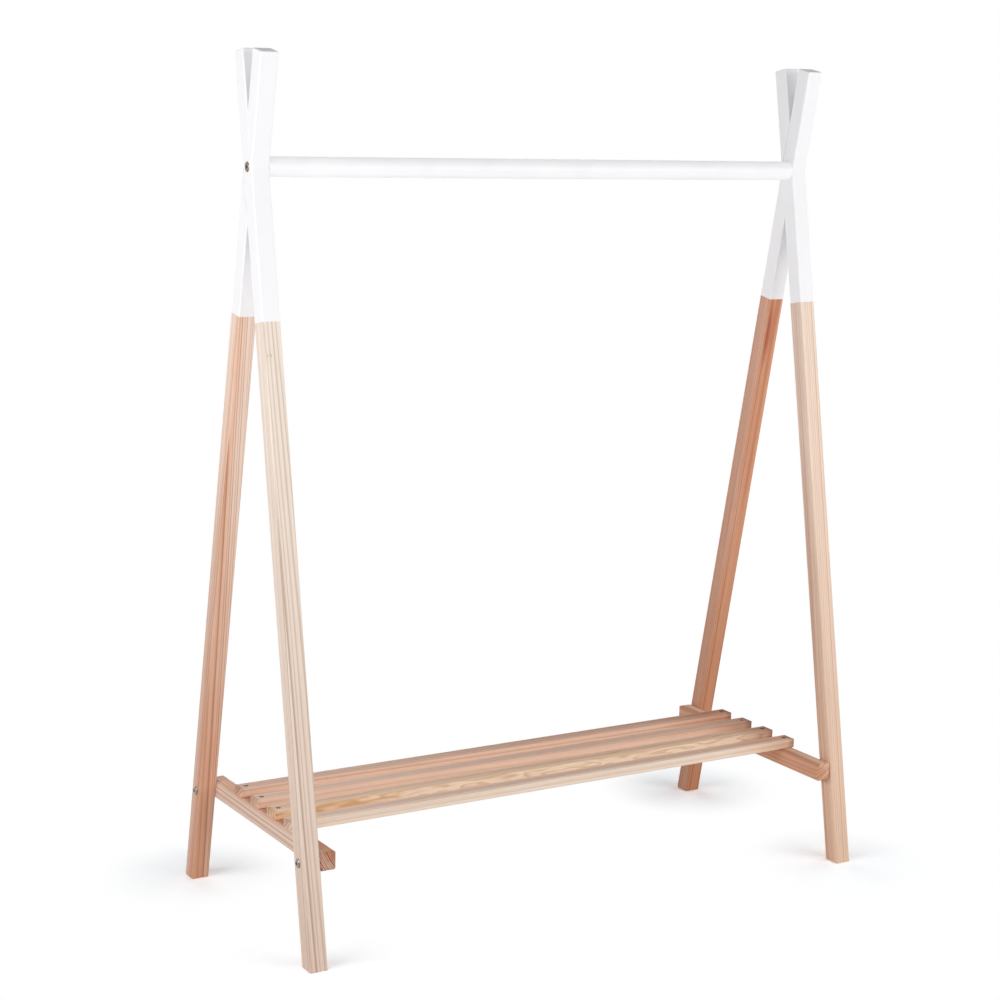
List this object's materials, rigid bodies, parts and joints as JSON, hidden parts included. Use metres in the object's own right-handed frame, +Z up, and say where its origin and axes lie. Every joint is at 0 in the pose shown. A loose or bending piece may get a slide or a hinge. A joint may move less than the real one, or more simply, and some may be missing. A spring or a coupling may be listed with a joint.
{
  "type": "open frame wardrobe",
  "caption": "Free-standing open clothes frame: half-lapped crossing legs with white dipped tops carry a round hanging rod, and low rails carry a slatted shelf.",
  "frame": {"origin": "on the floor below the middle of the rod", "axes": "+X along the rod to the right, +Y from front to rear, +Z up"},
  "size_m": [1.0068, 0.4506, 1.2926],
  "materials": {
    "dipped_pine": "planed softwood, bare below, tops dipped in white satin paint",
    "white_paint": "turned wood in white satin paint",
    "pine": "planed bare softwood",
    "bronzed_steel": "bronzed steel bolt",
    "zinc_steel": "bright zinc-plated steel",
    "zinc_sleeve": "yellow-passivated zinc sleeve"
  },
  "bodies": {
    "root": {"front_left_leg": "dipped_pine", "front_left_rail_bolt": "zinc_steel", "front_left_rail_sleeve": "zinc_sleeve", "front_middle_slat": "pine", "front_middle_slat_left_screw": "zinc_steel", "front_middle_slat_right_screw": "zinc_steel", "front_right_leg": "dipped_pine", "front_right_rail_bolt": "zinc_steel", "front_right_rail_sleeve": "zinc_sleeve", "front_slat": "pine", "front_slat_left_screw": "zinc_steel", "front_slat_right_screw": "zinc_steel", "hanging_rod": "white_paint", "left_crossing_bolt": "bronzed_steel", "left_rail": "pine", "left_rod_sleeve": "zinc_sleeve", "rear_left_leg": "dipped_pine", "rear_left_rail_bolt": "zinc_steel", "rear_left_rail_sleeve": "zinc_sleeve", "rear_middle_slat": "pine", "rear_middle_slat_left_screw": "zinc_steel", "rear_middle_slat_right_screw": "zinc_steel", "rear_right_leg": "dipped_pine", "rear_right_rail_bolt": "zinc_steel", "rear_right_rail_sleeve": "zinc_sleeve", "rear_slat": "pine", "rear_slat_left_screw": "zinc_steel", "rear_slat_right_screw": "zinc_steel", "right_crossing_bolt": "bronzed_steel", "right_rail": "pine", "right_rod_sleeve": "zinc_sleeve"}
  },
  "joints": []
}
